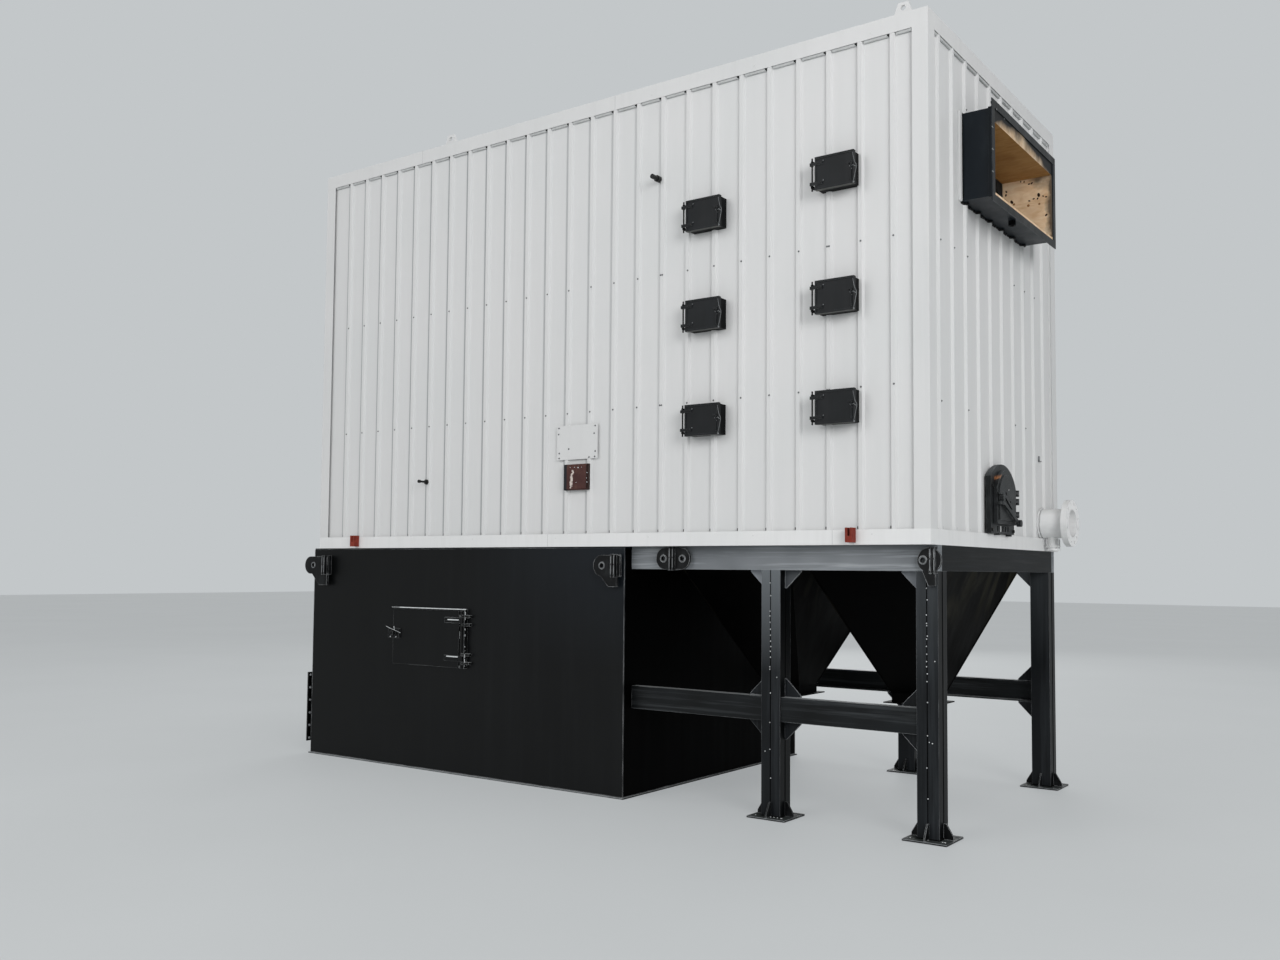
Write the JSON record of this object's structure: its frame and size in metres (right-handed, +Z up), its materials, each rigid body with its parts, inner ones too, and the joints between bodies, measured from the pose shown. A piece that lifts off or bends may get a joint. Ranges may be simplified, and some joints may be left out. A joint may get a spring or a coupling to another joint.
{
  "type": "industrial boiler",
  "caption": "Packaged solid-fuel boiler: white ribbed insulated casing on a black ash box and steel frame with two ash hoppers, cleanout doors and a flue outlet.",
  "frame": {"origin": "on the floor, below the middle of the whole", "axes": "+X points along the casing to its flue end, +Y from the front wall to the back wall, +Z up"},
  "size_m": [5.9648, 2.697, 5.176],
  "materials": {
    "white_cladding": "satin off-white coated sheet",
    "black_frame_paint": "semi-gloss black paint",
    "dark_door_paint": "worn dark grey paint",
    "cast_iron": "black casting",
    "red_primer": "red-brown primer",
    "plywood": "raw plywood",
    "grey_pipe_paint": "pale grey paint",
    "bare_steel": "dull steel"
  },
  "bodies": {
    "boiler": {"front_wall": "white_cladding", "front_door_bays": "white_cladding", "back_wall": "white_cladding", "left_wall": "white_cladding", "right_wall": "white_cladding", "right_wall_middle": "white_cladding", "right_wall_door_sides": "white_cladding", "roof": "white_cladding", "top_flashing": "white_cladding", "bottom_flashing": "white_cladding", "corner_flashings": "white_cladding", "floor_long_strips": "black_frame_paint", "floor_cross_strips": "black_frame_paint", "ash_box_sides": "black_frame_paint", "ash_box_ends": "black_frame_paint", "ash_box_top": "black_frame_paint", "foot_strip": "black_frame_paint", "ash_box_door_hinges": "black_frame_paint", "inlet_flange": "black_frame_paint", "frame_beams": "black_frame_paint", "frame_end_beam": "black_frame_paint", "mid_rails": "black_frame_paint", "columns": "black_frame_paint", "foot_plates": "black_frame_paint", "gussets": "black_frame_paint", "hoppers": "black_frame_paint", "cleanout_collars": "dark_door_paint", "arch_door_frame": "cast_iron", "flue_duct": "black_frame_paint", "flue_lining": "plywood", "main_nozzle": "grey_pipe_paint", "drain_branch": "grey_pipe_paint", "furnace_port": "red_primer", "patch_sheet": "white_cladding", "gauge_stubs": "bare_steel", "cradle_brackets": "red_primer", "lifting_lugs": "black_frame_paint", "roof_lugs": "white_cladding"},
    "cleanout_door_1": {"cleanout_door_1": "dark_door_paint"},
    "cleanout_door_2": {"cleanout_door_2": "dark_door_paint"},
    "cleanout_door_3": {"cleanout_door_3": "dark_door_paint"},
    "cleanout_door_4": {"cleanout_door_4": "dark_door_paint"},
    "cleanout_door_5": {"cleanout_door_5": "dark_door_paint"},
    "cleanout_door_6": {"cleanout_door_6": "dark_door_paint"},
    "ash_box_door": {"ash_box_door": "black_frame_paint"},
    "arch_door": {"arch_door": "cast_iron", "arch_door_lever": "cast_iron"}
  },
  "joints": [
    {"name": "cleanout_door_1_hinge", "type": "hinge", "parent": "boiler", "child": "cleanout_door_1", "pos_m": [1.0325, -1.3215, 2.635], "axis": [0, 0, -1], "range_deg": [0, 110]},
    {"name": "cleanout_door_2_hinge", "type": "hinge", "parent": "boiler", "child": "cleanout_door_2", "pos_m": [1.0325, -1.3215, 3.355], "axis": [0, 0, -1], "range_deg": [0, 110]},
    {"name": "cleanout_door_3_hinge", "type": "hinge", "parent": "boiler", "child": "cleanout_door_3", "pos_m": [1.0325, -1.3215, 4.05], "axis": [0, 0, -1], "range_deg": [0, 110]},
    {"name": "cleanout_door_4_hinge", "type": "hinge", "parent": "boiler", "child": "cleanout_door_4", "pos_m": [2.0195, -1.3215, 2.65], "axis": [0, 0, -1], "range_deg": [0, 110]},
    {"name": "cleanout_door_5_hinge", "type": "hinge", "parent": "boiler", "child": "cleanout_door_5", "pos_m": [2.0195, -1.3215, 3.355], "axis": [0, 0, -1], "range_deg": [0, 110]},
    {"name": "cleanout_door_6_hinge", "type": "hinge", "parent": "boiler", "child": "cleanout_door_6", "pos_m": [2.0195, -1.3215, 4.156], "axis": [0, 0, -1], "range_deg": [0, 110]},
    {"name": "ash_box_door_hinge", "type": "hinge", "parent": "boiler", "child": "ash_box_door", "pos_m": [-1.0875, -1.257, 1.058], "axis": [0, 0, 1], "range_deg": [0, 110]},
    {"name": "arch_door_hinge", "type": "hinge", "parent": "boiler", "child": "arch_door", "pos_m": [2.8205, 0.2145, 2.13], "axis": [0, 0, 1], "range_deg": [0, 110]}
  ]
}
